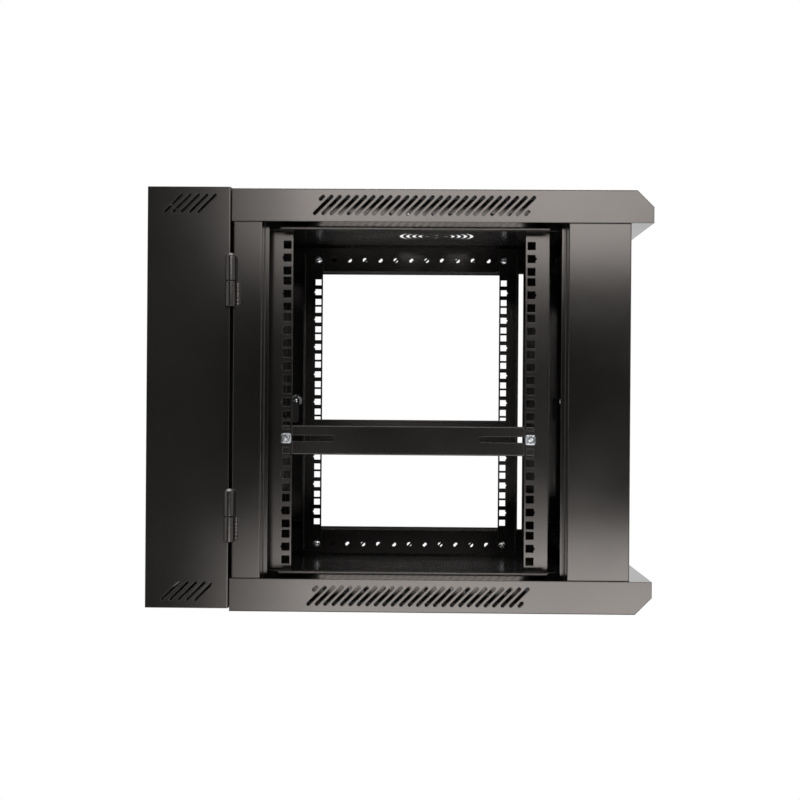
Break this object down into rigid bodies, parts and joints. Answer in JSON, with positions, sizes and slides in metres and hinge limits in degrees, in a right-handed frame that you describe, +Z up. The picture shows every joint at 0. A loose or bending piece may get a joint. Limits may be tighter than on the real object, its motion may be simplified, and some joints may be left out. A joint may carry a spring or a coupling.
{
  "type": "wall mount network cabinet",
  "caption": "Swing-out wall cabinet for rack equipment: wall section, open-sided main body with square-hole rack rails and vented covers, glass front door, locks.",
  "frame": {"origin": "centre of the four wall bolts, on the wall plane", "axes": "+Y into the wall, -Y out to the front door, +X from the hinge side to the lock side, +Z up"},
  "size_m": [0.6154, 0.6, 0.5055],
  "materials": {
    "powder_coat": "satin black powder coat",
    "rail_coat": "satin black powder coat",
    "hinge_coat": "satin black powder coat",
    "hinge_steel": "black oxide steel",
    "zinc": "bright zinc plate",
    "lock_plate": "nickel plated zinc die casting",
    "cam_black": "black zinc passivate",
    "gasket": "black foam tape",
    "glass": "tinted toughened glass"
  },
  "bodies": {
    "wall_section": {"wall_back_plate": "powder_coat", "wall_side_left": "powder_coat", "wall_side_right": "powder_coat", "wall_top_plate": "powder_coat", "wall_bottom_plate": "powder_coat", "top_blanking_plate": "powder_coat", "bottom_blanking_plate": "powder_coat", "blanking_plate_screws": "zinc", "wall_hinge_knuckles": "hinge_coat", "hinge_pins": "hinge_steel"},
    "main_body": {"top_cover": "powder_coat", "bottom_cover": "powder_coat", "rear_post_left": "powder_coat", "rear_post_right": "powder_coat", "front_post_left": "powder_coat", "front_post_right": "powder_coat", "depth_rail_top_left": "rail_coat", "depth_rail_top_right": "rail_coat", "depth_rail_bottom_left": "rail_coat", "depth_rail_bottom_right": "rail_coat", "rack_rail_front_left": "rail_coat", "rack_rail_front_right": "rail_coat", "rack_rail_rear_left": "rail_coat", "rack_rail_rear_right": "rail_coat", "depth_brace_left": "rail_coat", "depth_brace_right": "rail_coat", "cage_nuts": "zinc", "brace_screws": "zinc", "rail_screws": "zinc", "rail_nuts": "zinc", "body_hinge_knuckles": "hinge_coat", "body_lock_housing": "lock_plate", "body_lock_nut": "zinc"},
    "front_door": {"door_frame": "powder_coat", "door_gasket": "gasket", "door_glass": "glass", "door_pivot_pins": "zinc", "door_lock_housing": "lock_plate", "door_lock_nut": "zinc"},
    "door_lock": {"door_lock_plug": "lock_plate", "door_lock_cam": "cam_black", "door_lock_screw": "zinc"},
    "body_lock": {"body_lock_plug": "lock_plate", "body_lock_hook": "cam_black", "body_lock_screw": "zinc"}
  },
  "joints": [
    {"name": "body_swing", "type": "hinge", "parent": "wall_section", "child": "main_body", "pos_m": [-0.3065, -0.1005, 0], "axis": [0, 0, -1], "range_deg": [0, 90]},
    {"name": "door_swing", "type": "hinge", "parent": "main_body", "child": "front_door", "pos_m": [-0.255, -0.565, 0], "axis": [0, 0, -1], "range_deg": [0, 110]},
    {"name": "door_lock_turn", "type": "hinge", "parent": "front_door", "child": "door_lock", "pos_m": [0.242, -0.5725, -0.0025], "axis": [0, -1, 0], "range_deg": [0, 90]},
    {"name": "body_lock_turn", "type": "hinge", "parent": "main_body", "child": "body_lock", "pos_m": [0.3, -0.121, -0.003], "axis": [1, 0, 0], "range_deg": [0, 90]}
  ]
}
